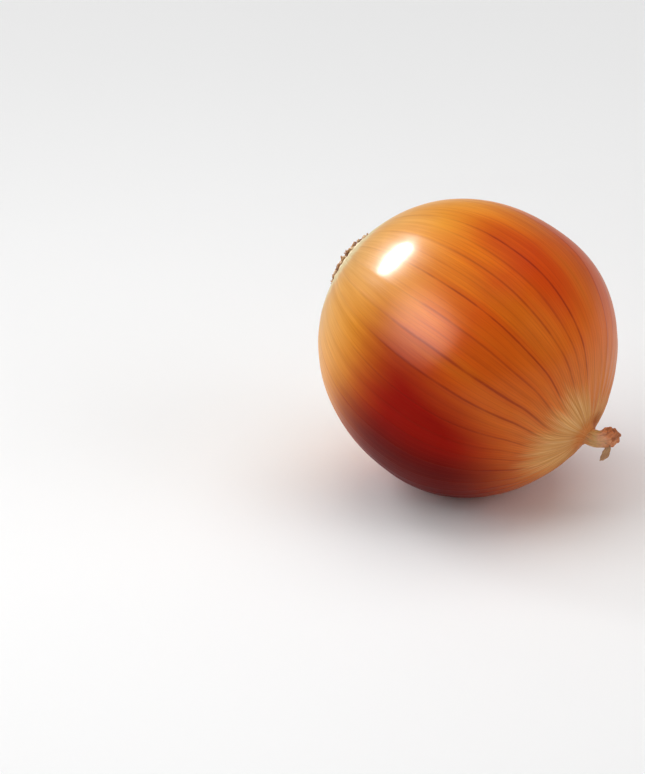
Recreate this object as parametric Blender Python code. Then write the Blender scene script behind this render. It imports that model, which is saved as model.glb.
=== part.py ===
"""A brown onion lying on its side, its dried neck hanging over the table and its roots at the back.

Blender 4.5 script, in metres, +Z up. The origin is the point of the resting spot that is straight
below the bulb's centre of mass. The bulb's own axis lies in the XZ plane and runs from the root end
at -X to the neck at +X, which it reaches leaning down by LEAN.

Four pieces grow from one another and are modelled as one object each:
  bulb        the swollen leaf bases in their papery skin, cupped at the root end to hold the roots
  root_tuft   the corky stem disc with the stubs of the dried roots
  dry_neck    the withered, twisted leaf bases above the shoulder
  leaf_shred  a torn strip of dead leaf that hangs from the neck
"""

import math
import random

import bmesh
import bpy
from mathutils import Matrix, Vector

MM = 0.001

# The bulb: a profile turned about its axis, measured from the widest circle.
BULB_RADIUS = 40.0 * MM
ROOT_LENGTH = 43.5 * MM
NECK_LENGTH = 38.7 * MM
ROOT_ROUNDNESS = (2.1, 2.05)
NECK_ROUNDNESS = (2.2, 1.7)
LOBES = ((2, 0.006, 0.4), (3, 0.004, 1.9), (5, 0.0025, 0.8))

# How it lies: the neck leans down, and the skin is flattened where it rests.
LEAN = math.radians(23.0)
REST_DEPTH = 0.8 * MM

# The root end: a shallow cup in the skin and the stem disc that fills it.
CUP_RADIUS = 8.6 * MM
CUP_LIP = 0.9 * MM
CUP_DEPTH = 1.4 * MM
DISC_CROWN = 1.1 * MM
ROOT_COUNT = 34
ROOT_RADIUS = 0.45 * MM
ROOT_REACH = 2.0 * MM
ROOT_SPLAY = 0.75
ROOT_INSET = 0.8 * MM

# The neck end: the skin draws up into a collar, and the dried neck bends away from it.
NECK_RADIUS = 2.6 * MM
COLLAR_LIP = 0.4 * MM
COLLAR_HEIGHT = 1.5 * MM
SHOULDER_RADIUS = 7.0 * MM
NECK_ROUTE = ((0.0, 0.0, 0.0), (0.0, 0.0, 2.9), (-1.5, 1.9, 4.3), (-3.7, 3.9, 5.4))
NECK_SWELL = ((0.0, 1.0), (0.35, 0.92), (0.68, 1.08), (0.88, 0.95), (1.0, 0.4))
NECK_FOLDS = 5
FOLD_DEPTH = 0.10
NECK_TWIST = math.radians(80.0)

# The shred, in the onion's lying position: it hangs from the neck's side, at a share of its length.
SHRED_WIDTH = 1.8 * MM
SHRED_THICKNESS = 0.4 * MM
SHRED_STATION = 0.62
SHRED_SIDE = (0.49, -0.75, -0.44)
SHRED_ROUTE = ((0.0, 0.0, 0.0), (0.4, -0.2, -1.8), (-0.4, -0.4, -3.2), (-1.6, -1.0, -4.6))
SHRED_TAPER = ((0.0, 0.55), (0.35, 1.0), (0.7, 0.8), (1.0, 0.15))

# Pieces that touch keep this gap.
CLEARANCE = 0.3 * MM

# Mesh steps.
AROUND_BULB = 64
RINGS_PER_END = 14
AROUND_NECK = 20
ALONG_NECK = 14
AROUND_DISC = 24
AROUND_ROOT = 6
ALONG_SHRED = 8


def clear_scene():
    for obj in list(bpy.data.objects):
        bpy.data.objects.remove(obj, do_unlink=True)


def skin_material(name, colour, roughness):
    material = bpy.data.materials.new(name)
    material.use_nodes = True
    shader = material.node_tree.nodes["Principled BSDF"]
    shader.inputs["Base Color"].default_value = (*colour, 1.0)
    shader.inputs["Roughness"].default_value = roughness
    shader.inputs["Metallic"].default_value = 0.0
    return material


def add_object(name, mesh, material, parent=None):
    obj = bpy.data.objects.new(name, mesh)
    bpy.context.scene.collection.objects.link(obj)
    obj.parent = parent
    if material:
        mesh.materials.append(material)
    mesh.shade_smooth()
    mesh.set_sharp_from_angle(angle=math.radians(40.0))
    return obj


def mesh_from_rings(name, rings):
    """A closed mesh bridged through rings of points, with a face across each end."""
    bm = bmesh.new()
    loops = [[bm.verts.new(p) for p in ring] for ring in rings]
    count = len(rings[0])
    for low, high in zip(loops, loops[1:]):
        for i in range(count):
            j = (i + 1) % count
            bm.faces.new((low[i], low[j], high[j], high[i]))
    bm.faces.new(loops[0])
    bm.faces.new(loops[-1])
    bmesh.ops.recalc_face_normals(bm, faces=bm.faces)
    mesh = bpy.data.meshes.new(name)
    bm.to_mesh(mesh)
    bm.free()
    return mesh


def radius_at(height, length, roundness):
    """The profile's radius at a height above (or below) the widest circle, on a superellipse."""
    along, across = roundness
    return BULB_RADIUS * max(0.0, 1.0 - (height / length) ** along) ** (1.0 / across)


def height_at(radius, length, roundness):
    """The height at which the profile has narrowed to a radius."""
    along, across = roundness
    return length * (1.0 - (radius / BULB_RADIUS) ** across) ** (1.0 / along)


def half_profile(edge_radius, length, roundness):
    """(radius, height) from the widest circle to edge_radius, at even steps of turning."""
    end = height_at(edge_radius, length, roundness)
    last = math.asin(min(1.0, end / length))
    heights = [length * math.sin(last * i / RINGS_PER_END) for i in range(RINGS_PER_END + 1)]
    return [(radius_at(h, length, roundness), h) for h in heights]


def root_face():
    """Height of the bulb's root end, below the widest circle."""
    return height_at(CUP_RADIUS + CUP_LIP, ROOT_LENGTH, ROOT_ROUNDNESS)


def neck_face():
    """Height of the collar's flat top, above the widest circle."""
    return height_at(SHOULDER_RADIUS, NECK_LENGTH, NECK_ROUNDNESS) + COLLAR_HEIGHT


def bulb_profile():
    """(radius, height) from the floor of the root cup, over the widest circle, to the collar's edge."""
    root = half_profile(CUP_RADIUS + CUP_LIP, ROOT_LENGTH, ROOT_ROUNDNESS)
    neck = half_profile(SHOULDER_RADIUS, NECK_LENGTH, NECK_ROUNDNESS)
    cup = [(CUP_RADIUS, -root_face() + CUP_DEPTH), (CUP_RADIUS, -root_face())]
    outside = [(r, -h) for r, h in reversed(root)] + neck[1:]
    return cup + outside + collar_curve()


def collar_curve():
    """The hollow quarter ellipse from the shoulder up to the collar's top, a lip wider than the neck."""
    steps = 5
    base = neck_face() - COLLAR_HEIGHT
    turns = [math.pi / 2 * i / steps for i in range(1, steps + 1)]
    run = SHOULDER_RADIUS - NECK_RADIUS - COLLAR_LIP
    return [
        (SHOULDER_RADIUS - run * math.sin(a), base + COLLAR_HEIGHT * (1.0 - math.cos(a)))
        for a in turns
    ]


def lobed(radius, angle):
    """The radius with the bulb's shallow lobes, which fade out towards both ends."""
    share = sum(size * math.cos(count * angle + phase) for count, size, phase in LOBES)
    fade = min(1.0, max(0.0, radius - SHOULDER_RADIUS) / (BULB_RADIUS / 2))
    return radius * (1.0 + share * fade)


def turned_ring(radius, height, count):
    angles = [2.0 * math.pi * i / count for i in range(count)]
    return [(lobed(radius, a) * math.cos(a), lobed(radius, a) * math.sin(a), height) for a in angles]


def centre_of_mass_height():
    """Height of the bulb's centre of mass above the widest circle, as a stack of thin discs."""
    steps = 400
    low, high = -root_face(), height_at(SHOULDER_RADIUS, NECK_LENGTH, NECK_ROUNDNESS)
    volume = moment = 0.0
    for i in range(steps):
        height = low + (high - low) * (i + 0.5) / steps
        if height < 0:
            area = radius_at(-height, ROOT_LENGTH, ROOT_ROUNDNESS) ** 2
        else:
            area = radius_at(height, NECK_LENGTH, NECK_ROUNDNESS) ** 2
        volume += area
        moment += area * height
    return moment / volume


def lying_turn():
    """The turn that takes the bulb's upright axis to its lying position."""
    return Matrix.Rotation(math.pi / 2 + LEAN, 4, "Y")


def lying_place(mesh):
    """Lays the bulb down, its centre of mass over the origin, sunk by the resting spot's depth."""
    turn = lying_turn()
    lowest = min((turn @ v.co).z for v in mesh.vertices)
    balance = turn @ Vector((0.0, 0.0, centre_of_mass_height()))
    return Matrix.Translation((-balance.x, 0.0, -lowest - REST_DEPTH)) @ turn


def add_bulb(parent, material):
    rings = [turned_ring(r, h, AROUND_BULB) for r, h in bulb_profile()]
    mesh = mesh_from_rings("bulb", rings)
    parent.matrix_world = lying_place(mesh)
    return add_object("bulb", mesh, material, parent)


def flatten_where_it_rests(bulb):
    """Cuts the bulb off level with the table."""
    depth = BULB_RADIUS / 4
    bm = bmesh.new()
    bmesh.ops.create_cube(bm, size=1.0)
    bmesh.ops.scale(bm, vec=(2 * BULB_RADIUS, 2 * BULB_RADIUS, depth), verts=bm.verts)
    bmesh.ops.translate(bm, vec=(0.0, 0.0, -depth / 2), verts=bm.verts)
    mesh = bpy.data.meshes.new("table_cutter")
    bm.to_mesh(mesh)
    bm.free()
    cutter = add_object("table_cutter", mesh, None)
    cutter.hide_render = True
    cutter.display_type = "WIRE"
    cut = bulb.modifiers.new("resting_spot", "BOOLEAN")
    cut.operation = "DIFFERENCE"
    cut.solver = "EXACT"
    cut.object = cutter


def disc_rings():
    """The stem disc: a short drum that fills the cup, with a domed face towards the roots."""
    radius = CUP_RADIUS - CLEARANCE
    top = -root_face() + CUP_DEPTH - CLEARANCE
    rim = -root_face()
    dome_steps = 3
    dome = [math.pi / 2 * i / (dome_steps + 1) for i in range(dome_steps + 1)]
    levels = [(radius, top)] + [
        (radius * math.cos(a), rim - DISC_CROWN * math.sin(a)) for a in dome
    ]
    angles = [2.0 * math.pi * i / AROUND_DISC for i in range(AROUND_DISC)]
    return [[(r * math.cos(a), r * math.sin(a), h) for a in angles] for r, h in levels]


def dome_height(distance):
    """Height of the stem disc's domed face at a distance from its axis."""
    share = min(1.0, distance / (CUP_RADIUS - CLEARANCE))
    return -root_face() - DISC_CROWN * math.sqrt(1.0 - share**2)


def root_stub(index, rng):
    """Rings of one root stub, rooted in the disc and leaning outwards, placed along a spiral."""
    golden_angle = math.radians(137.508)
    field = CUP_RADIUS - CLEARANCE - ROOT_INSET
    distance = field * math.sqrt((index + 0.5) / ROOT_COUNT)
    angle = index * golden_angle
    outward = Vector((math.cos(angle), math.sin(angle), 0.0))
    lean = outward * ROOT_SPLAY * (distance / field) ** 2
    direction = (lean + Vector((0.0, 0.0, -1.0))).normalized()
    foot = outward * distance
    foot.z = dome_height(distance) + 2.0 * ROOT_RADIUS
    reach = ROOT_REACH * rng.uniform(0.75, 1.15) + 2.0 * ROOT_RADIUS
    turn = direction.to_track_quat("Z", "Y").to_matrix()
    rings = []
    for share, width in ((0.0, 1.0), (0.6, 0.9), (1.0, 0.6)):
        centre = foot + direction * reach * share
        rings.append(
            [
                centre + turn @ Vector((math.cos(a), math.sin(a), 0.0)) * ROOT_RADIUS * width
                for a in (2.0 * math.pi * i / AROUND_ROOT for i in range(AROUND_ROOT))
            ]
        )
    return rings


def root_stubs_mesh():
    """All the stubs as separate closed bodies in one mesh."""
    rng = random.Random(7)
    bm = bmesh.new()
    for index in range(ROOT_COUNT):
        stub = mesh_from_rings("stub", root_stub(index, rng))
        bm.from_mesh(stub)
        bpy.data.meshes.remove(stub)
    mesh = bpy.data.meshes.new("root_stubs")
    bm.to_mesh(mesh)
    bm.free()
    return mesh


def add_root_tuft(parent, material):
    """The stem disc with its root stubs joined on."""
    tuft = add_object("root_tuft", mesh_from_rings("root_tuft", disc_rings()), material, parent)
    stubs = add_object("root_stubs", root_stubs_mesh(), material, parent)
    stubs.hide_render = True
    stubs.display_type = "WIRE"
    join = tuft.modifiers.new("stubs", "BOOLEAN")
    join.operation = "UNION"
    join.solver = "EXACT"
    join.object = stubs
    return tuft


def smooth_route(points, share):
    """A point on the cubic Bezier curve through four handles, with its direction."""
    a, b, c, d = (Vector(p) for p in points)
    t, s = share, 1.0 - share
    place = a * s**3 + b * 3 * s * s * t + c * 3 * s * t * t + d * t**3
    heading = (b - a) * s * s + (c - b) * 2 * s * t + (d - c) * t * t
    return place, heading.normalized()


def between(table, share):
    """The value at a share of the way along a table of (share, value) pairs, eased between them."""
    for (low, first), (high, second) in zip(table, table[1:]):
        if share <= high:
            t = (share - low) / (high - low)
            return first + (second - first) * t * t * (3 - 2 * t)
    return table[-1][1]


def neck_handles():
    """The neck's route, from just above the bulb's collar."""
    start = Vector((0.0, 0.0, neck_face() + CLEARANCE))
    return [start + Vector(p) * MM for p in NECK_ROUTE]


def neck_ring(share):
    place, heading = smooth_route(neck_handles(), share)
    turn = heading.to_track_quat("Z", "Y").to_matrix()
    size = NECK_RADIUS * between(NECK_SWELL, share)
    ring = []
    for i in range(AROUND_NECK):
        angle = 2.0 * math.pi * i / AROUND_NECK
        fold = 1.0 + FOLD_DEPTH * share * math.sin(NECK_FOLDS * angle + NECK_TWIST * share)
        ring.append(place + turn @ Vector((math.cos(angle), math.sin(angle), 0.0)) * size * fold)
    return ring


def add_dry_neck(parent, material):
    rings = [neck_ring(i / ALONG_NECK) for i in range(ALONG_NECK + 1)]
    return add_object("dry_neck", mesh_from_rings("dry_neck", rings), material, parent)


def shred_start(parent):
    """Where the shred hangs from, in the lying position: just off the neck's side at SHRED_STATION."""
    place, _ = smooth_route(neck_handles(), SHRED_STATION)
    swell = between(NECK_SWELL, SHRED_STATION) * (1.0 + FOLD_DEPTH)
    offset = NECK_RADIUS * swell + CLEARANCE + SHRED_THICKNESS / 2
    return parent.matrix_world @ place + Vector(SHRED_SIDE).normalized() * offset


def shred_ring(share, start):
    """One flat oblong section of the shred, whose width runs along the way that the neck points."""
    handles = [start + Vector(p) * MM for p in SHRED_ROUTE]
    place, heading = smooth_route(handles, share)
    across = Vector((1.0, 0.0, 0.35))
    across = (across - heading * across.dot(heading)).normalized()
    out = heading.cross(across)
    half = SHRED_WIDTH / 2 * between(SHRED_TAPER, share)
    thick = SHRED_THICKNESS / 2
    corners = ((-1.0, 0.0), (-0.6, -1.0), (0.6, -1.0), (1.0, 0.0), (0.6, 1.0), (-0.6, 1.0))
    return [place + across * half * x + out * thick * y for x, y in corners]


def add_leaf_shred(parent, material):
    start = shred_start(parent)
    rings = [shred_ring(i / ALONG_SHRED, start) for i in range(ALONG_SHRED + 1)]
    return add_object("leaf_shred", mesh_from_rings("leaf_shred", rings), material)


def main():
    clear_scene()
    brown_skin = skin_material("brown_skin", (0.56, 0.17, 0.03), 0.32)
    dry_root = skin_material("dry_root", (0.24, 0.13, 0.07), 0.85)
    dry_leaf = skin_material("dry_leaf", (0.45, 0.24, 0.11), 0.7)
    onion = bpy.data.objects.new("onion_axis", None)
    bpy.context.scene.collection.objects.link(onion)
    bulb = add_bulb(onion, brown_skin)
    flatten_where_it_rests(bulb)
    add_root_tuft(onion, dry_root)
    add_dry_neck(onion, dry_leaf)
    add_leaf_shred(onion, dry_leaf)


main()
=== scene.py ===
"""The looks of a brown onion lying on its side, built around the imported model.

The onion's own axis runs from the roots to the neck. Its pieces are made in the onion's upright frame,
in millimetres, with the widest circle at height 0 and the neck above it, and are then laid down where
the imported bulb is. The skin's mesh columns follow the veins, so that the veins' lines, ridges and
colour agree.
"""

import math
import random

import bpy
import numpy as np
from mathutils import Matrix, Vector, noise

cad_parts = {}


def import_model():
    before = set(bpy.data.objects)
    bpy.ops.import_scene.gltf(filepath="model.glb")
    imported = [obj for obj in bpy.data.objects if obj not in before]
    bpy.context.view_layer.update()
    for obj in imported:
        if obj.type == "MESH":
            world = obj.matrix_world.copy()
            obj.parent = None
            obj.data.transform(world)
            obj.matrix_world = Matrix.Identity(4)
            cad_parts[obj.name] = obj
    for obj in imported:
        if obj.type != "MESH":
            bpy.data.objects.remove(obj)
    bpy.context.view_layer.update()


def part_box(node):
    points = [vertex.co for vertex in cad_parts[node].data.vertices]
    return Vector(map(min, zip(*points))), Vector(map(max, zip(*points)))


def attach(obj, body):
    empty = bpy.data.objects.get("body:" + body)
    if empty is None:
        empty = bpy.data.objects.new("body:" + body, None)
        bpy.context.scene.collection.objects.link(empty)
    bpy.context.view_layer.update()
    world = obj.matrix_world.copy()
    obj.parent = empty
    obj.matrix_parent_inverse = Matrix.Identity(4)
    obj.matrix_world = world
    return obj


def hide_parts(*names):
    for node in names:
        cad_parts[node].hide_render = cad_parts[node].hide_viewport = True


MM = 0.001

# The bulb's profile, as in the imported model, in millimetres.
BULB_RADIUS = 40.0
ROOT_LENGTH = 43.5
NECK_LENGTH = 38.7
ROOT_ROUNDNESS = (2.1, 2.05)
NECK_ROUNDNESS = (2.2, 1.7)
LOBES = ((2, 0.006, 0.4), (3, 0.004, 1.9), (5, 0.0025, 0.8))
LEAN = math.radians(23.0)
RIM_RADIUS = 9.5
CUP_RADIUS = 8.6
SHOULDER_RADIUS = 7.0
COLLAR_RADIUS = 3.0
COLLAR_HEIGHT = 1.5

# Veins: those of the side that shows are listed as (degrees around, strength), and the rest
# follow at random at about the same spacing.
SHOWN_VEINS = (
    (-172, 1.0), (-164, 0.4), (-156, 0.65), (-149, 0.15), (-142, 0.9), (-131, 0.6), (-125, 0.12),
    (-119, 0.9), (-109, 0.85), (-103, 0.15), (-97, 0.65), (-89, 0.4), (-82, 0.6),
)
VEIN_SPACING = (7.0, 13.0)
COLUMNS_PER_VEIN = 8
RINGS_PER_END = 120

# The stem disc and its dried roots, in millimetres and in numbers.
DISC_RADIUS = 7.8
DISC_RISE = 1.5
FIELD_ROOTS = 330
EDGE_ROOTS = 620
ROOT_STEPS = 6

# The ragged rims around the disc: foot radius, reach inward, rise and thickness, in millimetres.
SCALE_RIM = (11.4, 2.8, 0.95, 0.3)
SKIN_RIM = (12.2, 1.3, 0.3, 0.1)

# The dried neck and the torn strip of leaf that hangs from it, in millimetres.
NECK_RADIUS = 2.6
NECK_ROUTE = ((0.0, 0.0, 0.0), (0.0, 0.0, 2.9), (-1.5, 1.9, 4.3), (-3.7, 3.9, 5.4))
NECK_SWELL = ((0.0, 0.98), (0.2, 0.92), (0.4, 0.90), (0.68, 1.12), (0.88, 1.0), (1.0, 0.6))
NECK_END = ((0.86, 0.28), (0.62, 0.42), (0.36, 0.30), (0.12, 0.0), (0.01, -0.2))
NECK_SINK = 1.2
SHRED_STATION = 0.62
SHRED_SIDE = (0.49, -0.75, -0.44)
SHRED_OFFSET = (0.45, 0.2, 0.2)
SHRED_ROUTE = ((0.0, 0.0, 0.0), (0.4, -0.2, -1.8), (-0.4, -0.4, -3.2), (-1.6, -1.0, -4.6))
SHRED_LENGTHENING = 1.18
SHRED_ACROSS = (1.0, 0.0, 0.35)
SHRED_WIDTH = 2.3
SHRED_THICKNESS = 0.16
SHRED_TAPER = ((0.0, 0.5), (0.3, 0.8), (0.55, 1.0), (0.8, 0.65), (1.0, 0.05))
SHRED_CURL = 0.55

# Angles around the onion's axis, from its lowest side, of the places where its colour changes: the red band,
# and the painted shadow on the flank and underside.
BAND_ANGLE = math.radians(-174.0)
FLANK_ANGLE = math.radians(-60.0)
UNDER_ANGLE = math.radians(-50.0)

FLOOR_HALF_WIDTH = 4.0
WORLD_STRENGTH = 0.3

# The camera looks down on the onion from the side, through a long lens.
CAMERA_AZIMUTH = math.radians(33.0)
CAMERA_ELEVATION = math.radians(27.0)
CAMERA_DISTANCE = 1.6
FRAME_WIDTH = 0.1755
AIM_RIGHT = -0.0416
AIM_UP = -0.0094


def srgb(red, green, blue):
    """A colour given as 0 to 255 screen values, in linear light."""
    def linear(value):
        share = value / 255.0
        return share / 12.92 if share <= 0.04045 else ((share + 0.055) / 1.055) ** 2.4
    return (linear(red), linear(green), linear(blue), 1.0)


# Colours from the neck to the roots, by the share of the way there.
SKIN_COLOURS = (
    (0.05, srgb(210, 122, 62)), (0.16, srgb(214, 120, 50)), (0.26, srgb(212, 102, 20)),
    (0.38, srgb(206, 88, 6)), (0.48, srgb(210, 86, 0)), (0.58, srgb(226, 118, 6)),
    (0.68, srgb(234, 150, 40)), (0.78, srgb(238, 170, 82)), (0.86, srgb(228, 174, 102)),
)
STRAW_COLOURS = ((0.3, srgb(196, 138, 76)), (0.5, srgb(220, 164, 98)), (0.7, srgb(234, 188, 126)))
CREAM_COLOURS = ((0.3, srgb(214, 184, 120)), (0.7, srgb(238, 218, 164)))
DEEP_ORANGE = srgb(200, 62, 4)
PALE_ORANGE = srgb(216, 122, 22)
BAND_RED = srgb(190, 50, 0)
FAR_SIDE_BROWN = srgb(158, 88, 40)
# Painted shadow: deep red on the flank and near black-red on the underside.
FLANK_PAINTED_SHADOW = srgb(152, 14, 0)
UNDER_PAINTED_SHADOW = srgb(82, 2, 0)
VEIN_GLOW = srgb(190, 52, 4)
VEIN_CORE = srgb(108, 18, 2)
FINE_VEIN = srgb(150, 44, 8)
NECK_FOOT_BROWN = srgb(192, 98, 40)
# Painted shade in the notch where the neck's collar meets the bulb.
NOTCH_PAINTED_SHADE = srgb(150, 62, 16)
NECK_LINE_BROWN = srgb(150, 92, 40)

# Colours of the roots, rims, neck and strip, by a shade or by the share of the way to the tip.
ROOT_COLOURS = (
    (0.15, srgb(84, 46, 20)), (0.38, srgb(140, 84, 42)), (0.6, srgb(188, 136, 80)),
    (0.85, srgb(224, 192, 140)),
)
RIM_COLOURS = (
    (0.35, srgb(240, 224, 168)), (0.55, srgb(228, 200, 140)), (0.72, srgb(186, 124, 74)),
    (0.88, srgb(118, 66, 40)),
)
NECK_COLOURS = (
    (0.1, srgb(206, 136, 72)), (0.3, srgb(206, 158, 92)), (0.5, srgb(222, 158, 114)),
    (0.75, srgb(202, 118, 66)), (0.95, srgb(176, 104, 62)),
)
# Painted shade in the hollows of the neck's folds.
NECK_HOLLOW_SHADE = srgb(112, 58, 26)
STRIP_COLOURS = (
    (0.34, srgb(120, 78, 44)), (0.45, srgb(178, 130, 84)), (0.55, srgb(196, 152, 104)),
    (0.7, srgb(216, 180, 134)),
)
# Painted shade where the strip leaves the neck.
STRIP_FOOT_SHADE = srgb(104, 58, 28)

# What a colour is multiplied by, from a noise's dark places to its light ones.
STREAK_TONES = ((0.25, (0.86, 0.80, 0.70, 1.0)), (0.75, (1.10, 1.14, 1.2, 1.0)))
FINE_STREAK_TONES = ((0.3, (0.92, 0.88, 0.8, 1.0)), (0.7, (1.05, 1.08, 1.1, 1.0)))
NECK_TONES = (
    (0.3, (0.62, 0.56, 0.50, 1.0)), (0.48, (0.95, 0.93, 0.9, 1.0)), (0.7, (1.12, 1.14, 1.16, 1.0)),
)
FLOOR_TONES = ((0.3, (0.86, 0.86, 0.86, 1.0)), (0.7, (0.88, 0.88, 0.88, 1.0)))


# ---------------------------------------------------------------- shapes

def height_at(radius, length, roundness):
    """The height at which one end of the bulb's profile has narrowed to a radius."""
    along, across = roundness
    return length * (1.0 - (radius / BULB_RADIUS) ** across) ** (1.0 / along)


def half_profile(edge_radius, length, roundness, steps):
    """(radius, height) from the widest circle to edge_radius, at even steps of turning."""
    along, across = roundness
    end = height_at(edge_radius, length, roundness)
    heights = length * np.sin(np.linspace(0.0, math.asin(end / length), steps + 1))
    radii = BULB_RADIUS * np.maximum(0.0, 1.0 - (heights / length) ** along) ** (1.0 / across)
    return np.stack([radii, heights], axis=1)


ROOT_FACE = height_at(RIM_RADIUS, ROOT_LENGTH, ROOT_ROUNDNESS)
NECK_FACE = height_at(SHOULDER_RADIUS, NECK_LENGTH, NECK_ROUNDNESS) + COLLAR_HEIGHT


def noise_field(points, scale, offset=0.0):
    """Smooth noise from -1 to 1 at each of an array of points."""
    flat = points.reshape(-1, 3)
    shift = Vector((offset, offset * 0.7, -offset))
    values = [noise.noise(Vector(p) * scale + shift) for p in flat]
    return np.array(values).reshape(points.shape[:-1])


def eased(value, low, high):
    """0 below low, 1 above high, and a smooth step between."""
    share = np.clip((value - low) / (high - low), 0.0, 1.0)
    return share * share * (3.0 - 2.0 * share)


def grid_normals(grid):
    """Unit normals of a grid of points whose second direction closes on itself."""
    along = np.gradient(grid, axis=0)
    around = np.roll(grid, -1, axis=1) - np.roll(grid, 1, axis=1)
    normals = np.cross(around, along)
    lengths = np.linalg.norm(normals, axis=-1, keepdims=True)
    return normals / np.maximum(lengths, 1e-12)


def laid_down(points, place):
    """Points of the upright frame, in millimetres, laid down in the row frame, in metres."""
    matrix = np.array(place)
    return points.reshape(-1, 3) * MM @ matrix[:3, :3].T + matrix[:3, 3]


def tube_faces(count, rings, around):
    """Faces of closed tubes whose points are numbered by tube, ring and place around the ring."""
    index = np.arange(count * rings * around).reshape(count, rings, around)
    low, high = index[:, :-1], index[:, 1:]
    turned_low, turned_high = np.roll(low, -1, axis=2), np.roll(high, -1, axis=2)
    faces = np.stack([low, turned_low, turned_high, high], axis=-1).reshape(-1, 4).tolist()
    faces += [list(reversed(ring)) for ring in index[:, 0].tolist()]
    faces += index[:, -1].tolist()
    return faces


def band_faces(sections, around):
    """Faces of a ring-shaped body through closed cross-sections."""
    index = np.arange(sections * around).reshape(sections, around)
    ahead = np.roll(index, -1, axis=0)
    beside, both = np.roll(index, -1, axis=1), np.roll(ahead, -1, axis=1)
    return np.stack([index, ahead, both, beside], axis=-1).reshape(-1, 4).tolist()


def add_attribute(mesh, key, values):
    """A value or a vector at each of the mesh's points."""
    if values.shape[-1] == 3 and values.ndim > 1:
        layer = mesh.attributes.new(key, "FLOAT_VECTOR", "POINT")
        layer.data.foreach_set("vector", values.astype(np.float32).ravel())
    else:
        layer = mesh.attributes.new(key, "FLOAT", "POINT")
        layer.data.foreach_set("value", values.astype(np.float32).ravel())


def smooth_route(points, share):
    """A point on the cubic Bezier curve through four handles, with its direction."""
    a, b, c, d = (Vector(p) for p in points)
    t, s = share, 1.0 - share
    place = a * s**3 + b * 3 * s * s * t + c * 3 * s * t * t + d * t**3
    heading = (b - a) * s * s + (c - b) * 2 * s * t + (d - c) * t * t
    return place, heading.normalized()


def between(table, share):
    """The value at a share of the way along (share, value) pairs, eased between them."""
    for (low, first), (high, second) in zip(table, table[1:]):
        if share <= high:
            t = (share - low) / (high - low)
            return first + (second - first) * t * t * (3 - 2 * t)
    return table[-1][1]


# ---------------------------------------------------------------- the skin

def vein_list():
    """(angle, strength) of every vein, once around from the first, in radians."""
    rng = random.Random(11)
    veins = [(math.radians(a), s) for a, s in SHOWN_VEINS]
    end = veins[0][0] + 2.0 * math.pi
    angle = veins[-1][0]
    while True:
        angle += math.radians(rng.uniform(*VEIN_SPACING))
        if angle > end - math.radians(VEIN_SPACING[0] * 0.7):
            return veins
        veins.append((angle, rng.choice((0.15, 0.4, 0.6, 0.8, 0.95))))


def skin_columns():
    """Angles of the skin's mesh columns, with each column's angle to its nearest main and fine vein."""
    rng = random.Random(5)
    veins = vein_list()
    closing = veins[1:] + [(veins[0][0] + 2.0 * math.pi, veins[0][1])]
    angles, main, fine, strength = [], [], [], []
    for (start, first), (stop, second) in zip(veins, closing):
        column = (stop - start) / COLUMNS_PER_VEIN
        for step in range(COLUMNS_PER_VEIN):
            jitter = rng.uniform(-0.25, 0.25) * column if step else 0.0
            angles.append(start + step * column + jitter)
            main.append(min(step, COLUMNS_PER_VEIN - step) * column)
            fine.append((step % 2) * column)
            strength.append(first + (second - first) * step / COLUMNS_PER_VEIN)
    return tuple(np.array(values) for values in (angles, main, fine, strength))


def skin_profile():
    """(radius, height) from the floor of the root cup, over the widest circle, to inside the neck."""
    root = half_profile(RIM_RADIUS, ROOT_LENGTH, ROOT_ROUNDNESS, RINGS_PER_END)
    neck = half_profile(SHOULDER_RADIUS, NECK_LENGTH, NECK_ROUNDNESS, RINGS_PER_END)
    cup = [(0.05, 1.4), (CUP_RADIUS - 0.4, 1.4), (CUP_RADIUS, 1.1), (CUP_RADIUS + 0.1, 0.3)]
    lip = [(CUP_RADIUS + 0.3, -0.02), (RIM_RADIUS - 0.3, -0.03)]
    inside = [(r, h - ROOT_FACE) for r, h in cup + lip]
    turns = np.linspace(0.0, math.pi / 2, 13)[1:]
    run = SHOULDER_RADIUS - COLLAR_RADIUS
    foot = NECK_FACE - COLLAR_HEIGHT
    collar = [
        (SHOULDER_RADIUS - run * math.sin(turn), foot + COLLAR_HEIGHT * (1 - math.cos(turn)))
        for turn in turns
    ]
    top = [(COLLAR_RADIUS - 0.5, NECK_FACE + 0.1), (0.05, NECK_FACE - 0.5)]
    outside = [(r, -h) for r, h in root[::-1]] + [tuple(p) for p in neck[1:]]
    return np.array(inside + outside + collar + top)


def lobed(radius, angle):
    """The radius with the bulb's shallow lobes, which fade out towards both ends."""
    share = sum(size * np.cos(count * angle + phase) for count, size, phase in LOBES)
    fade = np.clip((radius - SHOULDER_RADIUS) / (BULB_RADIUS / 2), 0.0, 1.0)
    return radius * (1.0 + share * fade)


def skin_surface():
    """The skin's plain turned surface, each point's angle from the neck's pole, and its vein layers."""
    angles, main, fine, strength = skin_columns()
    profile = skin_profile()
    radius, height = profile[:, 0][:, None], profile[:, 1][:, None]
    polar = np.arctan2(radius, height) + 0.0 * angles
    way = np.stack([np.cos(angles) * 8, np.sin(angles) * 8], axis=-1)
    spots = np.concatenate([np.broadcast_to(way, polar.shape + (2,)), (polar * 5)[..., None]], axis=-1)
    wander = np.radians(1.3) * noise_field(spots, 0.2) + np.radians(0.22) * noise_field(spots, 0.7, 4.0)
    twist = np.radians(9.0) * (1.0 - eased(polar, math.radians(14), math.radians(48)))
    turned = angles + (wander + twist) * eased(polar, 0.02, 0.2)
    full = lobed(radius, turned)
    grid = np.stack([full * np.cos(turned), full * np.sin(turned), height + 0.0 * turned], axis=-1)
    layers = [main + 0.0 * polar, fine + 0.0 * polar, strength + 0.0 * polar]
    return grid, polar, layers


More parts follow.
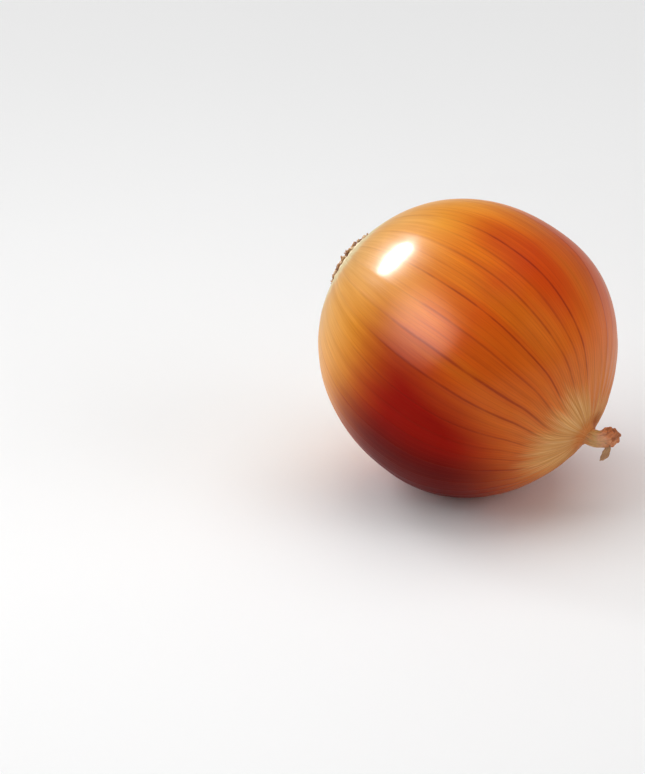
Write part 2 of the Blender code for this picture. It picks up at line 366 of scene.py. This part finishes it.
def skin_relief(grid, polar, main, strength):
    """How far each point of the skin stands out from the plain surface, in millimetres."""
    radius = np.linalg.norm(grid[..., :2], axis=-1)
    off_vein = main * radius
    neck = 1.0 - eased(polar, math.radians(12), math.radians(55))
    middle = eased(radius, 9.0, 20.0)
    ridge = np.exp(-((off_vein / 0.9) ** 2)) * strength
    relief = middle * (0.28 * noise_field(grid, 0.035) + 0.05 * noise_field(grid, 0.11, 7.0))
    relief += ridge * (0.05 + 0.12 * neck) * eased(radius, 4.0, 14.0)
    pleats = np.cos(main * 2.0 * math.pi / np.radians(10.0))
    relief += 0.09 * pleats * neck * (1.0 - eased(radius, 12.0, 24.0)) * eased(radius, 2.5, 4.5)
    return relief


def lying_matrix(grid):
    """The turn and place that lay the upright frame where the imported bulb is."""
    turn = Matrix.Rotation(math.pi / 2 + LEAN, 4, "Y")
    points = grid.reshape(-1, 3) @ np.array(turn.to_3x3()).T * MM
    low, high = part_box("bulb")
    middle_x = (low.x + high.x - points[:, 0].min() - points[:, 0].max()) / 2
    middle_y = (low.y + high.y - points[:, 1].min() - points[:, 1].max()) / 2
    return Matrix.Translation((middle_x, middle_y, high.z - points[:, 2].max())) @ turn


def flattened(points):
    """Row frame points with whatever is below the table's level eased up to it."""
    soft = 0.25 * MM
    height = points[:, 2]
    near = np.clip((height + soft) / (2 * soft), 0.0, 1.0)
    eased_height = np.where(height > soft, height, soft * near * near)
    return np.column_stack([points[:, :2], eased_height])


def add_piece(name, grid, faces, place, material, nodes=(), attributes=None):
    """A piece laid down in the row frame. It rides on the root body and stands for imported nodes."""
    mesh = bpy.data.meshes.new(name)
    mesh.from_pydata(flattened(laid_down(grid, place)).tolist(), [], faces)
    add_attribute(mesh, "upright", grid)
    for key, values in (attributes or {}).items():
        add_attribute(mesh, key, values)
    mesh.shade_smooth()
    mesh.update()
    mesh.materials.append(material)
    piece = bpy.data.objects.new(name, mesh)
    bpy.context.scene.collection.objects.link(piece)
    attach(piece, "root")
    if nodes:
        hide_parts(*nodes)
    return piece


def add_skin():
    """The bulb's skin. Returns the matrix that lays the upright frame down."""
    grid, polar, (main, fine, strength) = skin_surface()
    place = lying_matrix(grid)
    relief = skin_relief(grid, polar, main, strength)
    grid = grid + grid_normals(grid) * relief[..., None]
    layers = {"vein_angle": main, "fine_angle": fine, "vein_strength": strength}
    faces = tube_faces(1, *grid.shape[:2])
    add_piece("onion_skin", grid, faces, place, skin_material(), ["bulb"], layers)
    return place


# ---------------------------------------------------------------- the root end

def dome_height(distance):
    """How far the stem disc's face stands out below the rim, at a distance from the axis."""
    share = np.clip(distance / DISC_RADIUS, 0.0, 1.0)
    return ROOT_FACE + DISC_RISE * (1.0 - share**10) ** 0.5


def add_stem_disc(place):
    """The corky disc that the roots grow from."""
    face = DISC_RADIUS * np.sin(np.linspace(math.pi / 2, 0.006, 44))
    radii = np.concatenate([[0.05, 5.0, DISC_RADIUS - 0.1], face])
    heights = np.concatenate([np.full(3, 1.2 - ROOT_FACE), -dome_height(face)])
    angles = np.linspace(0.0, 2 * math.pi, 120, endpoint=False)
    radius = radii[:, None] + 0.0 * angles
    grid = np.stack(
        [radius * np.cos(angles), radius * np.sin(angles), heights[:, None] + 0.0 * angles], axis=-1
    )
    lumps = 0.35 * noise_field(grid, 0.55) + 0.2 * noise_field(grid, 1.6, 3.0)
    grid[3:, :, 2] -= lumps[3:] * eased(radii[3:], 0.0, 1.0)[:, None]
    faces = tube_faces(1, *grid.shape[:2])
    add_piece("stem_disc", grid[::-1], faces, place, root_material(), ["root_tuft"])


def root_path(foot, heading, length, curl):
    """Centre points of a root that leaves foot along heading and curls steadily."""
    points = [foot]
    heading = heading / np.linalg.norm(heading)
    for _ in range(ROOT_STEPS):
        heading = heading + curl / ROOT_STEPS
        heading = heading / np.linalg.norm(heading)
        points.append(points[-1] + heading * length / ROOT_STEPS)
    return np.array(points)


def round_tube(path, radii, around):
    """Rings of points around a path."""
    tangent = np.gradient(path, axis=0)
    tangent /= np.linalg.norm(tangent, axis=1, keepdims=True)
    helper = (1.0, 0.0, 0.0) if abs(tangent[0, 2]) > 0.8 else (0.0, 0.0, 1.0)
    side = np.cross(tangent, helper)
    side /= np.linalg.norm(side, axis=1, keepdims=True)
    other = np.cross(tangent, side)
    angles = np.linspace(0.0, 2 * math.pi, around, endpoint=False)
    ring = np.cos(angles)[None, :, None] * side[:, None] + np.sin(angles)[None, :, None] * other[:, None]
    return path[:, None] + ring * radii[:, None, None]


def field_root(index, rng):
    """Centre points of a root on the disc's face, and its thickness and shade."""
    distance = 0.92 * DISC_RADIUS * math.sqrt((index + 0.5) / FIELD_ROOTS)
    angle = index * math.radians(137.508) + rng.normal(0.0, 0.1)
    outward = np.array([math.cos(angle), math.sin(angle), 0.0])
    sideways = np.array([-math.sin(angle), math.cos(angle), 0.0])
    foot = outward * distance - np.array([0.0, 0.0, float(dome_height(distance)) - 0.5])
    spread = 0.6 * (distance / DISC_RADIUS) ** 2 + rng.normal(0.0, 0.35)
    heading = outward * spread + sideways * rng.normal(0.0, 0.8) - np.array([0.0, 0.0, 1.0])
    curl = rng.normal(0.0, 1.2, 3) + np.array([0.0, 0.0, 0.8])
    length = rng.uniform(1.2, 2.4) * (1.0 - 0.4 * (distance / DISC_RADIUS) ** 4)
    path = root_path(foot, heading, length, curl)
    return path, rng.uniform(0.16, 0.3), rng.uniform(0.3, 1.3)


def edge_root(rng):
    """Centre points of a root that lies along the disc's edge, and its thickness and shade."""
    distance = DISC_RADIUS - rng.uniform(-0.3, 1.2)
    angle = rng.uniform(0.0, 2 * math.pi)
    outward = np.array([math.cos(angle), math.sin(angle), 0.0])
    sideways = np.array([-math.sin(angle), math.cos(angle), 0.0])
    foot = outward * distance - np.array([0.0, 0.0, ROOT_FACE + rng.uniform(0.5, 1.55)])
    heading = sideways * rng.choice((-1.0, 1.0)) * rng.uniform(0.8, 1.4) + outward * rng.normal(0.0, 0.3)
    heading = heading + np.array([0.0, 0.0, rng.uniform(-0.25, 0.25)])
    curl = rng.normal(0.0, 0.6, 3) - outward * 0.5 + np.array([0.0, 0.0, 0.3])
    path = root_path(foot, heading, rng.uniform(1.0, 2.0), curl)
    return path, rng.uniform(0.2, 0.36), rng.uniform(0.1, 1.0)


def add_roots(place):
    """Hundreds of short dried roots, curled on the disc and matted around its edge."""
    rng = np.random.default_rng(3)
    roots = [field_root(index, rng) for index in range(FIELD_ROOTS)]
    roots += [edge_root(rng) for _ in range(EDGE_ROOTS)]
    taper = np.array([1.0, 1.05, 1.0, 0.98, 0.92, 0.8, 0.5])
    tubes = np.array([round_tube(path, width * taper, 6) for path, width, _ in roots])
    tubes += 0.06 * noise_field(tubes, 1.4)[..., None]
    shades = np.array([np.full(tubes.shape[1:3], shade) for _, _, shade in roots])
    faces = tube_faces(*tubes.shape[:3])
    add_piece("dried_roots", tubes, faces, place, root_material(), attributes={"shade": shades})


def add_rim(name, place, foot_radius, reach, rise, thickness, material):
    """A ragged ring of skin that leans in over the edge of the stem disc."""
    around = 480
    angles = np.linspace(0.0, 2 * math.pi, around, endpoint=False)
    circle = np.stack([np.cos(angles), np.sin(angles), 0.0 * angles], axis=-1)
    ragged = 1.0 + 0.35 * noise_field(circle, 4.0, foot_radius)
    ragged += 0.3 * noise_field(circle, 16.0, foot_radius)
    lift = 1.0 + 0.35 * noise_field(circle, 7.0, 2.0 * foot_radius)
    foot_height = height_at(foot_radius, ROOT_LENGTH, ROOT_ROUNDNESS)
    rows, shares = [], []
    for share in (0.0, 0.2, 0.4, 0.6, 0.8, 1.0):
        radius = foot_radius - reach * ragged * share
        height = foot_height - 0.12 + (rise * lift + 0.12) * math.sin(share * math.pi / 2)
        rows.append(np.stack([radius * np.cos(angles), radius * np.sin(angles), -height], axis=-1))
        shares.append(np.full(around, share))
    outer = np.array(rows)
    normals = grid_normals(outer)
    inner = outer + normals * thickness * np.sign(normals[..., 2:].mean())
    section = np.concatenate([outer, inner[::-1]], axis=0).transpose(1, 0, 2)
    tip = np.array(shares + shares[::-1]).T
    faces = band_faces(*section.shape[:2])
    add_piece(name, section, faces, place, material, attributes={"tip": tip})


def add_rims(place):
    """The cream ring of scale bases around the disc, and the papery edge of the skin outside it."""
    add_rim("scale_rim", place, *SCALE_RIM, rim_material("scale_rim", 0.0))
    add_rim("skin_rim", place, *SKIN_RIM, rim_material("skin_rim", 0.25))


# ---------------------------------------------------------------- the neck

def neck_handles():
    """The neck's route from just inside the collar."""
    start = Vector((0.0, 0.0, NECK_FACE + 0.3))
    handles = [start + Vector(p) for p in NECK_ROUTE]
    handles[0] = handles[0] - Vector((0.0, 0.0, NECK_SINK))
    return handles


def neck_radius(share, angle):
    """The dried neck's radius, with its twisted folds and the swollen knob near its end."""
    turned = angle + math.radians(95.0) * share
    depth = 0.05 + 0.12 * share
    crease = 1.0 - np.abs(np.sin(2.5 * turned + 0.6)) ** 0.5
    small = np.sin(11.0 * turned + 3.0 * np.sin(angle + 4.0 * share))
    return NECK_RADIUS * between(NECK_SWELL, share) * (1.0 - depth * crease + 0.018 * small)


def neck_surface(angles):
    """Rings of the neck before it is wrinkled, with the rings that close its end."""
    rows = []
    for share in np.linspace(0.0, 1.0, 100):
        centre, heading = smooth_route(neck_handles(), share)
        turn = np.array(heading.to_track_quat("Z", "Y").to_matrix())
        radius = neck_radius(share, angles)
        ring = np.stack([np.cos(angles) * radius, np.sin(angles) * radius, 0.0 * angles], axis=-1)
        rows.append(np.array(centre) + ring @ turn.T)
    centre, heading = smooth_route(neck_handles(), 1.0)
    end = np.array(centre)
    last = rows[-1]
    for size, push in NECK_END:
        rows.append(end + (last - end) * size + np.array(heading) * push)
    return np.array(rows)


def neck_wrinkles(grid, shares):
    """How far each point of the neck stands out from its plain surface, in millimetres."""
    crumple = 0.25 + 0.75 * eased(shares, 0.3, 0.75)
    folds = 1.0 - 2.0 * np.abs(noise_field(grid, 0.55, 2.5)) ** 0.7
    wrinkles = crumple * (0.28 * noise_field(grid, 0.6) + 0.12 * noise_field(grid, 1.9, 5.0))
    wrinkles -= 0.22 * crumple * folds
    wrinkles[0] = 0.0
    return wrinkles


def add_dry_neck(place):
    """The withered, twisted leaf bases, closed by a crumpled end."""
    angles = np.linspace(0.0, 2 * math.pi, 144, endpoint=False)
    grid = neck_surface(angles)
    shares = np.linspace(0.0, 1.0, len(grid))[:, None]
    wrinkles = neck_wrinkles(grid, shares)
    grid = grid + grid_normals(grid) * wrinkles[..., None]
    around_shape = grid.shape[:2]
    fibre = np.stack(
        [
            np.broadcast_to(np.cos(angles), around_shape),
            np.broadcast_to(np.sin(angles), around_shape),
            np.broadcast_to(shares, around_shape),
        ],
        axis=-1,
    )
    # The hollows of the folds, where the neck's material paints shade.
    layers = {"fibre": fibre, "hollow_shade": np.clip(0.5 - 2.0 * wrinkles, 0.0, 1.0)}
    faces = tube_faces(1, *grid.shape[:2])
    add_piece("dried_neck", grid, faces, place, neck_material(), ["dry_neck"], layers)


def leaf_strip(handles):
    """Rings of a thin strip of leaf along a curved route, whose edges curl up towards its tip."""
    flat = np.linspace(-1.0, 1.0, 9)
    rings = []
    for share in np.linspace(0.0, 1.0, 40):
        centre, heading = smooth_route(handles, share)
        side = Vector(SHRED_ACROSS)
        side = (side - heading * side.dot(heading)).normalized()
        out = heading.cross(side)
        half = SHRED_WIDTH / 2 * between(SHRED_TAPER, share)
        bow = (flat**2 - 0.4) * SHRED_CURL * share * half
        middle = [centre + side * half * x + out * rise for x, rise in zip(flat, bow)]
        upper = [tuple(point + out * SHRED_THICKNESS / 2) for point in middle]
        lower = [tuple(point - out * SHRED_THICKNESS / 2) for point in middle]
        rings.append(upper + lower[::-1])
    return np.array(rings)


def strip_fibre(rings):
    """Texture places along and across a strip."""
    along, around, _ = rings.shape
    half = around // 2
    across = np.concatenate([np.linspace(-1, 1, half), np.linspace(1, -1, around - half)])
    fibre = np.zeros(rings.shape)
    fibre[..., 0] = across
    fibre[..., 2] = np.linspace(0.0, 1.0, along)[:, None]
    return fibre


def add_leaf_shred(place):
    """The torn strip of dead leaf that hangs from the neck's side."""
    station, _ = smooth_route(neck_handles(), SHRED_STATION)
    side = Vector(SHRED_SIDE).normalized() * NECK_RADIUS * 0.72 + Vector(SHRED_OFFSET)
    start = place @ (station * MM) / MM + side
    rings = leaf_strip([start + Vector(point) * SHRED_LENGTHENING for point in SHRED_ROUTE])
    rings = rings + 0.08 * noise_field(rings, 0.9)[..., None]
    layers = {"fibre": strip_fibre(rings)}
    faces = tube_faces(1, *rings.shape[:2])
    lying = Matrix.Identity(4)
    add_piece("leaf_strip", rings, faces, lying, strip_material(), ["leaf_shred"], layers)


# ---------------------------------------------------------------- materials

class Nodes:
    """Builds a material's nodes with short calls, each of which returns an output socket."""

    def __init__(self, name):
        self.material = bpy.data.materials.new(name)
        self.material.use_nodes = True
        self.tree = self.material.node_tree
        self.shader = self.tree.nodes["Principled BSDF"]

    def feed(self, socket, value):
        """A link from another socket, or a plain value."""
        if isinstance(value, bpy.types.NodeSocket):
            self.tree.links.new(value, socket)
        else:
            socket.default_value = value

    def add(self, kind, inputs, output=0, **settings):
        """A new node of a kind, with its inputs fed and its settings made."""
        node = self.tree.nodes.new("ShaderNode" + kind)
        for key, value in settings.items():
            setattr(node, key, value)
        for key, value in inputs.items():
            self.feed(node.inputs[key], value)
        return node.outputs[output]

    def math(self, operation, *values):
        return self.add("Math", dict(enumerate(values)), operation=operation)

    def product(self, first, *others):
        for factor in others:
            first = self.math("MULTIPLY", first, factor)
        return first

    def total(self, first, *others):
        for part in others:
            first = self.math("ADD", first, part)
        return first

    def attribute(self, name, output="Fac"):
        return self.add("Attribute", {}, output, attribute_name=name)

    def scaled(self, vector, factors):
        return self.add("VectorMath", {0: vector, 1: factors}, operation="MULTIPLY")

    def noise(self, vector, scale, detail=2.0, roughness=0.5):
        inputs = {"Vector": vector, "Scale": scale, "Detail": detail, "Roughness": roughness}
        return self.add("TexNoise", inputs)

    def wander(self, noise, size):
        """A noise made to vary by up to half of size either side of 0."""
        return self.product(self.math("SUBTRACT", noise, 0.5), size)

    def step(self, value, low, high, first=0.0, second=1.0):
        """first below low, second above high, and a smooth step between."""
        inputs = {"Value": value, "From Min": low, "From Max": high, "To Min": first, "To Max": second}
        return self.add("MapRange", inputs, interpolation_type="SMOOTHSTEP")

    def window(self, value, rise, fall, left=0.0):
        """0 before the rise, 1 between the rise and the fall, and what is left after the fall."""
        return self.product(self.step(value, *rise), self.step(value, *fall, 1.0, left))

    def line(self, distance, width, soft):
        """1 on a line and 0 away from it, given the distance to it and half its width."""
        return self.step(distance, width, width + soft, 1.0, 0.0)

    def ramp(self, value, stops):
        """A colour read from (place, colour) stops."""
        socket = self.add("ValToRGB", {"Fac": value})
        ramp = socket.node.color_ramp
        for index, (place, colour) in enumerate(stops):
            stop = ramp.elements[index] if index < 2 else ramp.elements.new(place)
            stop.position = place
            stop.color = colour
        return socket

    def blend(self, share, low, high, mode="MIX"):
        inputs = {0: share, 6: low, 7: high}
        return self.add("Mix", inputs, 2, data_type="RGBA", blend_type=mode)

    def bump(self, height):
        """Relief from a height in millimetres."""
        return self.add("Bump", {"Height": height, "Distance": MM, "Strength": 1.0}, "Normal")

    def finish(self, **sockets):
        """The material, once its shader's sockets are fed."""
        for name, value in sockets.items():
            self.feed(self.shader.inputs[name.replace("_", " ")], value)
        return self.material


class SkinNodes(Nodes):
    """The skin's nodes, with the places and patterns that its colour, gloss and relief share.

    share is the share of the way from the neck to the roots. x and y are the sides around the axis:
    x is 1 at the lowest side and -1 at the top.
    """

    def __init__(self):
        super().__init__("onion_skin")
        self.place = self.attribute("upright", "Vector")
        across, beside, height = self.add("SeparateXYZ", {0: self.place}).node.outputs
        squares = self.total(self.math("POWER", across, 2.0), self.math("POWER", beside, 2.0))
        self.radius = self.math("SQRT", squares)
        self.share = self.math("DIVIDE", self.math("ARCTAN2", self.radius, height), math.pi)
        self.x = self.math("DIVIDE", across, self.radius)
        self.y = self.math("DIVIDE", beside, self.radius)
        self.fibres = self.add("CombineXYZ", {0: self.x, 1: self.y, 2: self.share})
        self.streaks = self.fibre_noise((20.0, 20.0, 4.0), 3.0, 0.6)
        self.fine_streaks = self.fibre_noise((80.0, 80.0, 9.0), 2.0, 0.6)
        self.drift = self.wander(self.fibre_noise((2.2, 2.2, 2.2), 2.0, 0.5), 0.12)
        self.tongues = self.wander(self.streaks, 0.05)
        self.middle = self.window(self.share, (0.22, 0.38), (0.52, 0.68))
        self.off_vein = self.product(self.attribute("vein_angle"), self.radius)
        off_fine = self.product(self.attribute("fine_angle"), self.radius)
        self.fine_lines = self.line(off_fine, 0.02, 0.2)

    def fibre_noise(self, scales, detail, roughness):
        """Noise drawn out along the fibres, with its scales across and along them."""
        return self.noise(self.scaled(self.fibres, scales), 1.0, detail, roughness)

    def facing(self, angle):
        """1 where the skin faces an angle around the axis, and -1 on the other side."""
        return self.math("MULTIPLY_ADD", self.x, math.cos(angle), self.product(self.y, math.sin(angle)))


def skin_ground(n):
    """The colour from the neck to the roots, with deeper and paler bands along the fibres."""
    colour = n.ramp(n.total(n.share, n.tongues, n.drift), SKIN_COLOURS)
    bands = n.fibre_noise((3.2, 3.2, 1.4), 3.0, 0.6)
    deep = n.product(n.step(bands, 0.46, 0.70), n.middle, 0.7)
    pale = n.product(n.step(bands, 0.30, 0.46, 1.0, 0.0), n.middle, 0.35)
    colour = n.blend(deep, colour, DEEP_ORANGE)
    return n.blend(pale, colour, PALE_ORANGE)


def skin_sides(n, colour):
    """The red band near the top, the browner far side, and a painted shadow that darkens the flank to deep
    red and the underside to near black-red. Also returns the painted shadow's share.
    """
    band_side = n.step(n.facing(BAND_ANGLE), 0.980, 0.998, 0.0, 0.6)
    band = n.product(band_side, n.window(n.share, (0.26, 0.42), (0.54, 0.66)))
    colour = n.blend(band, colour, BAND_RED)
    far_side = n.product(n.step(n.y, -0.05, 0.35, 0.0, 0.35), n.middle)
    colour = n.blend(far_side, colour, FAR_SIDE_BROWN)
    # Painted shadow over the flank, darkest towards the underside.
    flank_lean = n.total(n.product(n.share, 0.9), n.product(n.drift, 2.0), -0.36)
    flank_side = n.step(n.total(n.facing(FLANK_ANGLE), flank_lean), 0.52, 0.88)
    flank_shadow = n.product(flank_side, n.window(n.share, (0.12, 0.38), (0.5, 0.74)))
    colour = n.blend(flank_shadow, colour, FLANK_PAINTED_SHADOW)
    under_shadow = n.product(flank_shadow, n.step(n.facing(UNDER_ANGLE), 0.8, 0.98, 0.0, 0.85))
    return n.blend(under_shadow, colour, UNDER_PAINTED_SHADOW), flank_shadow


def skin_tones(n, colour):
    """Lighter and darker streaks along the fibres. The finest ones fade out at both ends."""
    colour = n.blend(0.75, colour, n.ramp(n.streaks, STREAK_TONES), "MULTIPLY")
    fine_share = n.step(n.radius, 8.0, 30.0, 0.1, 0.7)
    return n.blend(fine_share, colour, n.ramp(n.fine_streaks, FINE_STREAK_TONES), "MULTIPLY")


def skin_veins(n, colour, flank_shadow):
    """Dark red veins in a soft glow, and fine lines between them. Also returns the veins' cores."""
    broken = n.step(n.noise(n.place, 0.12, 3.0), 0.3, 0.55, 0.45, 1.0)
    body = n.window(n.share, (0.13, 0.22), (0.54, 0.68), 0.2)
    near_side = n.step(n.y, -0.15, 0.3, 1.0, 0.6)
    vein = n.product(n.attribute("vein_strength"), broken, body, near_side)
    glow = n.product(n.line(n.off_vein, 0.1, 2.2), vein, n.math("SUBTRACT", 1.0, flank_shadow), 0.3)
    core = n.product(n.line(n.off_vein, 0.04, 0.5), vein, 0.58)
    fine = n.product(n.fine_lines, body, 0.16)
    for strength, vein_colour in ((glow, VEIN_GLOW), (core, VEIN_CORE), (fine, FINE_VEIN)):
        colour = n.blend(strength, colour, vein_colour)
    return colour, core


def skin_neck(n, colour):
    """Straw tongues around the neck, browner at its foot, and a painted shade in its notch. Also returns the
    straw's share.
    """
    ragged = n.wander(n.fibre_noise((9.0, 9.0, 1.6), 3.0, 0.65), 0.16)
    far_side = n.step(n.y, -0.5, 0.05, 0.0, 0.075)
    underside = n.step(n.x, 0.25, 0.9, 0.0, 0.06)
    reach = n.total(n.share, ragged, n.product(n.x, -0.022), far_side, underside)
    straw = n.step(reach, 0.115, 0.21, 1.0, 0.0)
    straw_colour = n.ramp(n.fibre_noise((26.0, 26.0, 3.0), 2.0, 0.55), STRAW_COLOURS)
    foot = n.step(n.total(n.share, n.product(n.drift, 0.4)), 0.025, 0.075, 0.75, 0.0)
    foot = n.product(foot, n.step(n.streaks, 0.3, 0.6, 0.45, 1.0))
    straw_colour = n.blend(foot, straw_colour, NECK_FOOT_BROWN)
    colour = n.blend(n.product(straw, 0.85), colour, straw_colour)
    # Painted shade in the notch where the collar meets the bulb, on the side away from the flank.
    notch_side = n.step(n.facing(FLANK_ANGLE), -1.0, -0.4, 0.6, 0.0)
    notch_shade = n.product(notch_side, n.step(n.share, 0.03, 0.085, 1.0, 0.0))
    colour = n.blend(notch_shade, colour, NOTCH_PAINTED_SHADE)
    lines = n.math("MAXIMUM", n.fine_lines, n.line(n.off_vein, 0.04, 0.28))
    lines = n.product(lines, n.window(n.share, (0.03, 0.06), (0.17, 0.25)), 0.3)
    return n.blend(lines, colour, NECK_LINE_BROWN), straw


def skin_material():
    """Glossy papery skin with dark veins: golden at the roots, red-orange between, straw at the neck."""
    n = SkinNodes()
    colour, flank_shadow = skin_sides(n, skin_ground(n))
    colour, core = skin_veins(n, skin_tones(n, colour), flank_shadow)
    colour, straw = skin_neck(n, colour)
    cream = n.step(n.total(n.share, n.product(n.tongues, 0.6), n.product(n.drift, 0.2)), 0.838, 0.872)
    colour = n.blend(cream, colour, n.ramp(n.fine_streaks, CREAM_COLOURS))

    dull = n.math("MAXIMUM", n.product(straw, 0.7), n.step(n.share, 0.87, 0.92))
    rough = n.total(0.34, n.product(dull, 0.22), n.product(n.streaks, 0.08))
    # The coat is thinner over the dull straw, the roots' end and the painted shadow on the flank.
    dimmed = n.total(n.product(dull, 0.2), n.product(flank_shadow, 0.25))
    coat = n.math("MAXIMUM", n.math("SUBTRACT", 0.28, dimmed), 0.03)
    relief = n.total(n.product(n.streaks, 0.05), n.product(n.fine_streaks, 0.015), n.product(core, 0.05))
    relief = n.total(relief, n.product(n.noise(n.place, 0.5, 3.0), 0.02))
    return n.finish(
        Base_Color=colour, Roughness=rough, Specular_IOR_Level=0.03, Coat_Weight=coat, Coat_Roughness=0.21,
        Normal=n.bump(relief),
    )


def root_material():
    """Dried root and corky disc: tan and dark brown, and rough."""
    n = Nodes("dried_root")
    place = n.attribute("upright", "Vector")
    mottle = n.noise(place, 1.3, 4.0, 0.65)
    shade = n.total(n.product(n.attribute("shade"), 0.5), n.product(mottle, 0.6))
    relief = n.product(n.noise(place, 4.0, 3.0), 0.12)
    return n.finish(Base_Color=n.ramp(shade, ROOT_COLOURS), Roughness=0.85, Normal=n.bump(relief))


def rim_material(name, brown):
    """Dried skin at the root end: cream, and browner towards its torn tips."""
    n = Nodes(name)
    place = n.attribute("upright", "Vector")
    mottle = n.noise(place, 0.9, 4.0, 0.6)
    shade = n.total(n.product(n.attribute("tip"), 0.25), n.product(mottle, 0.8), brown)
    relief = n.product(n.noise(place, 2.5, 3.0), 0.06)
    return n.finish(Base_Color=n.ramp(shade, RIM_COLOURS), Roughness=0.55, Normal=n.bump(relief))


def neck_material():
    """Dead leaf bases: olive tan at the foot, pinkish tan along the side and rusty at the knob, with painted
    shade in the hollows of the folds.
    """
    n = Nodes("dried_neck")
    fibre = n.attribute("fibre", "Vector")
    along = n.add("SeparateXYZ", {0: fibre}, 2)
    fibres = n.noise(n.scaled(fibre, (7.0, 7.0, 3.0)), 1.0, 4.0, 0.6)
    mottle = n.noise(n.attribute("upright", "Vector"), 0.5, 3.0, 0.6)
    colour = n.ramp(n.total(along, n.wander(mottle, 0.9)), NECK_COLOURS)
    colour = n.blend(1.0, colour, n.ramp(fibres, NECK_TONES), "MULTIPLY")
    # Painted shade in the deepest hollows of the folds.
    hollow_shade = n.step(n.attribute("hollow_shade"), 0.6, 1.0, 0.0, 0.55)
    colour = n.blend(hollow_shade, colour, NECK_HOLLOW_SHADE)
    return n.finish(Base_Color=colour, Roughness=0.6, Normal=n.bump(n.product(fibres, 0.25)))


def strip_material():
    """Thin dead leaf: greyish tan with brown fibres along its length, and a painted shade where it leaves the
    neck.
    """
    n = Nodes("leaf_strip")
    fibre = n.attribute("fibre", "Vector")
    fibres = n.noise(n.scaled(fibre, (6.0, 6.0, 2.0)), 1.0, 4.0, 0.65)
    mottle = n.noise(n.attribute("upright", "Vector"), 0.8, 3.0, 0.6)
    colour = n.ramp(n.total(n.product(fibres, 0.6), n.product(mottle, 0.4)), STRIP_COLOURS)
    # Painted shade where the strip leaves the neck.
    foot = n.step(n.add("SeparateXYZ", {0: fibre}, 2), 0.05, 0.3, 0.75, 0.0)
    colour = n.blend(foot, colour, STRIP_FOOT_SHADE)
    return n.finish(Base_Color=colour, Roughness=0.65, Normal=n.bump(n.product(fibres, 0.2)))


def floor_material():
    """A matt pale grey, very slightly cloudy."""
    n = Nodes("pale_floor")
    cloud = n.noise(n.add("TexCoord", {}, "Object"), 3.0, 2.0)
    return n.finish(Base_Color=n.ramp(cloud, FLOOR_TONES), Roughness=0.7, Specular_IOR_Level=0.2)


# ---------------------------------------------------------------- stage, light and camera

def view_axes():
    """The camera's right, up and backward directions."""
    turn, rise = CAMERA_AZIMUTH, CAMERA_ELEVATION
    right = Vector((math.cos(turn), math.sin(turn), 0.0))
    back = Vector((math.sin(turn) * math.cos(rise), -math.cos(turn) * math.cos(rise), math.sin(rise)))
    return right, back.cross(right), back


def add_floor():
    """The pale level floor that the onion lies on."""
    mesh = bpy.data.meshes.new("floor")
    half = FLOOR_HALF_WIDTH
    corners = [(-half, -half, 0), (half, -half, 0), (half, half, 0), (-half, half, 0)]
    mesh.from_pydata(corners, [], [(0, 1, 2, 3)])
    floor = bpy.data.objects.new("floor", mesh)
    mesh.materials.append(floor_material())
    bpy.context.scene.collection.objects.link(floor)


def from_view(direction):
    """A direction given as (camera right, level and away from the camera, up), in the row frame."""
    right = view_axes()[0]
    away = Vector((-right.y, right.x, 0.0))
    return (right * direction[0] + away * direction[1] + Vector((0.0, 0.0, direction[2]))).normalized()


def add_softbox(name, direction, target, distance, size, power, along=(1.0, 0.0, 0.0)):
    """A rectangular lamp that faces target from a direction, with its long side lying along another."""
    toward = from_view(direction)
    long_side = from_view(along)
    long_side = (long_side - toward * long_side.dot(toward)).normalized()
    lamp = bpy.data.lights.new(name, "AREA")
    lamp.shape = "RECTANGLE"
    lamp.size, lamp.size_y = size
    lamp.energy = power
    light = bpy.data.objects.new(name, lamp)
    bpy.context.scene.collection.objects.link(light)
    axes = Matrix((long_side, toward.cross(long_side), toward)).transposed().to_4x4()
    light.matrix_world = Matrix.Translation(target + toward * distance) @ axes
    return light


def add_lights(target):
    """A bright strip and a dim round box that show in the gloss, and broad soft boxes that don't."""
    strip_along = (0.77, 0.44, 0.46)
    strip = add_softbox("strip_box", (-0.63, 0.42, 0.64), target, 0.6, (0.19, 0.085), 3.0, strip_along)
    strip.data.spread = math.radians(60.0)
    round_box = add_softbox("round_box", (-0.72, -0.49, 0.56), target, 0.8, (0.8, 0.8), 2.6)
    round_box.data.shape = "DISK"
    round_box.data.spread = math.radians(56.0)
    for light in (strip, round_box):
        light.visible_diffuse = False
    top = add_softbox("top_box", (0.1, 0.15, 0.97), target, 1.2, (1.2, 1.2), 7.5)
    left = add_softbox("left_box", (-0.75, -0.1, 0.62), target, 0.9, (0.8, 0.8), 3.6)
    side = add_softbox("side_box", (0.85, -0.3, 0.45), target, 1.2, (0.8, 0.8), 3.6)
    for light in (top, left, side):
        light.visible_glossy = False
    world = bpy.data.worlds.new("studio")
    world.use_nodes = True
    background = world.node_tree.nodes["Background"]
    background.inputs["Color"].default_value = (1.0, 1.0, 1.0, 1.0)
    background.inputs["Strength"].default_value = WORLD_STRENGTH
    bpy.context.scene.world = world


def add_camera(centre):
    """A long lens that sees the onion to the right of the picture's middle."""
    right, up, back = view_axes()
    data = bpy.data.cameras.new("camera")
    data.sensor_fit = "HORIZONTAL"
    data.sensor_width = 36.0
    data.lens = data.sensor_width * CAMERA_DISTANCE / FRAME_WIDTH
    data.clip_end = 20.0
    camera = bpy.data.objects.new("camera", data)
    bpy.context.scene.collection.objects.link(camera)
    spot = centre + back * CAMERA_DISTANCE + right * AIM_RIGHT + up * AIM_UP
    camera.matrix_world = Matrix.Translation(spot) @ Matrix((right, up, back)).transposed().to_4x4()
    bpy.context.scene.camera = camera


def main():
    """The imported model, the onion's detailed pieces around it, and the stage."""
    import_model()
    place = add_skin()
    add_stem_disc(place)
    add_roots(place)
    add_rims(place)
    add_dry_neck(place)
    add_leaf_shred(place)
    add_floor()
    centre = place.to_translation()
    add_lights(centre)
    add_camera(centre)
    bpy.context.scene.view_settings.view_transform = "Standard"
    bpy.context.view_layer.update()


main()
